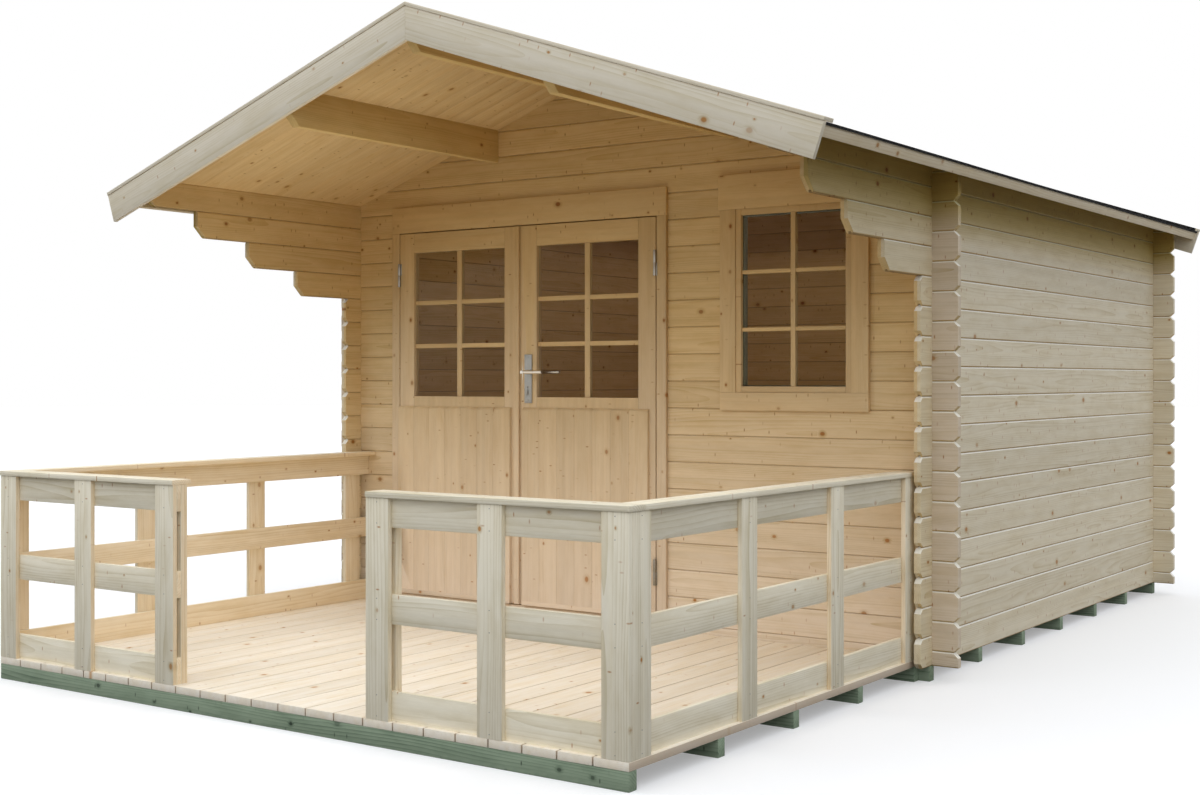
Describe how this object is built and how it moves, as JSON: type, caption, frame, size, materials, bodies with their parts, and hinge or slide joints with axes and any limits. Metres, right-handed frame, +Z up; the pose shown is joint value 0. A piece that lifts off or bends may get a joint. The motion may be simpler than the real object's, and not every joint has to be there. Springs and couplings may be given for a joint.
{
  "type": "garden house",
  "caption": "Garden house of notched wall logs with a low gabled roof, glazed double door, barred window and a railed timber terrace under a deep front overhang.",
  "frame": {"origin": "on the ground under the middle of the whole house with its terrace and roof", "axes": "+X to the right seen from the front, +Y from the terrace to the back wall, +Z up"},
  "size_m": [3.4232, 5.107, 2.5364],
  "materials": {
    "planed_spruce": "planed, untreated",
    "planed_spruce_boards": "planed, untreated",
    "green_impregnated_timber": "sawn, pressure treated",
    "roofing_felt": "mineral faced bitumen felt",
    "zinc_steel": "zinc plated",
    "clear_glass": "clear"
  },
  "bodies": {
    "house": {"house_bearers": "green_impregnated_timber", "terrace_bearers": "green_impregnated_timber", "house_floor": "planed_spruce_boards", "terrace_deck": "planed_spruce_boards", "left_wall": "planed_spruce", "right_wall": "planed_spruce", "back_wall": "planed_spruce", "back_gable": "planed_spruce", "front_sill_log": "planed_spruce", "front_wall_left": "planed_spruce", "front_wall_right": "planed_spruce", "front_wall_over_door": "planed_spruce", "front_gable": "planed_spruce", "ridge_purlin": "planed_spruce", "side_purlins": "planed_spruce", "left_roof_boards": "planed_spruce", "right_roof_boards": "planed_spruce", "left_roof_felt": "roofing_felt", "right_roof_felt": "roofing_felt", "front_bargeboards": "planed_spruce", "back_bargeboards": "planed_spruce", "bargeboard_caps": "planed_spruce", "eave_fascias": "planed_spruce", "door_frame": "planed_spruce", "door_stops": "planed_spruce", "door_casing": "planed_spruce", "door_frame_hinges": "zinc_steel", "window_frame": "planed_spruce", "window_sash": "planed_spruce", "window_casing": "planed_spruce", "window_glass": "clear_glass", "front_railing_uprights": "planed_spruce_boards", "front_railing_rails": "planed_spruce_boards", "front_railing_caps": "planed_spruce_boards", "side_railing_uprights": "planed_spruce_boards", "side_railing_rails": "planed_spruce_boards", "side_railing_caps": "planed_spruce_boards"},
    "left_door": {"left_door_leaf": "planed_spruce", "left_door_panel": "planed_spruce", "left_door_glass": "clear_glass", "left_door_strip": "planed_spruce", "left_door_hinges": "zinc_steel"},
    "right_door": {"right_door_leaf": "planed_spruce", "right_door_panel": "planed_spruce", "right_door_glass": "clear_glass", "right_door_hinges": "zinc_steel", "handle_plate": "zinc_steel", "inner_handle_plate": "zinc_steel"},
    "door_handle": {"handle_levers": "zinc_steel"}
  },
  "joints": [
    {"name": "left_door_hinge", "type": "hinge", "parent": "house", "child": "left_door", "pos_m": [-1.19748, -0.5745, 0.986], "axis": [0, 0, -1], "range_deg": [0, 95]},
    {"name": "right_door_hinge", "type": "hinge", "parent": "house", "child": "right_door", "pos_m": [0.25752, -0.5745, 0.986], "axis": [0, 0, 1], "range_deg": [0, 95]},
    {"name": "handle_turn", "type": "hinge", "parent": "right_door", "child": "door_handle", "pos_m": [-0.42198, -0.5475, 1.181], "axis": [0, 1, 0], "range_deg": [0, 40], "stiffness_Nm_per_rad": 1.5, "springref_deg": -22.92}
  ]
}
